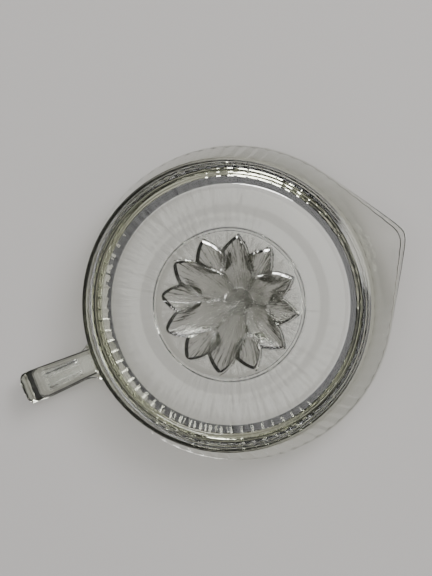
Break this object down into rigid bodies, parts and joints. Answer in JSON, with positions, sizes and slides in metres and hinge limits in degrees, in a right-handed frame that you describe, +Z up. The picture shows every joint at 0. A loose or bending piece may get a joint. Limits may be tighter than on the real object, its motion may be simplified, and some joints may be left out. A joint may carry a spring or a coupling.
{
  "type": "citrus juicer",
  "caption": "Handled citrus juicer in pressed clear glass: ribbed bowl, reaming cone, pouring spout and loop handle.",
  "frame": {"origin": "on the table under the middle of the whole length, so the bowl's own axis stands 11.5 mm towards the spout", "axes": "+X from the handle to the spout, +Z up; the juicer is symmetric about the XZ plane"},
  "size_m": [0.2058, 0.157, 0.053],
  "materials": {
    "pressed_glass": "clear fire-polished soda-lime glass with a faint olive-grey body tint"
  },
  "bodies": {
    "root": {"foot_ring": "pressed_glass", "bowl_floor": "pressed_glass", "ribbed_wall": "pressed_glass", "rim_band": "pressed_glass", "pouring_spout": "pressed_glass", "cone_platform": "pressed_glass", "reaming_cone": "pressed_glass", "loop_handle": "pressed_glass"}
  },
  "joints": []
}
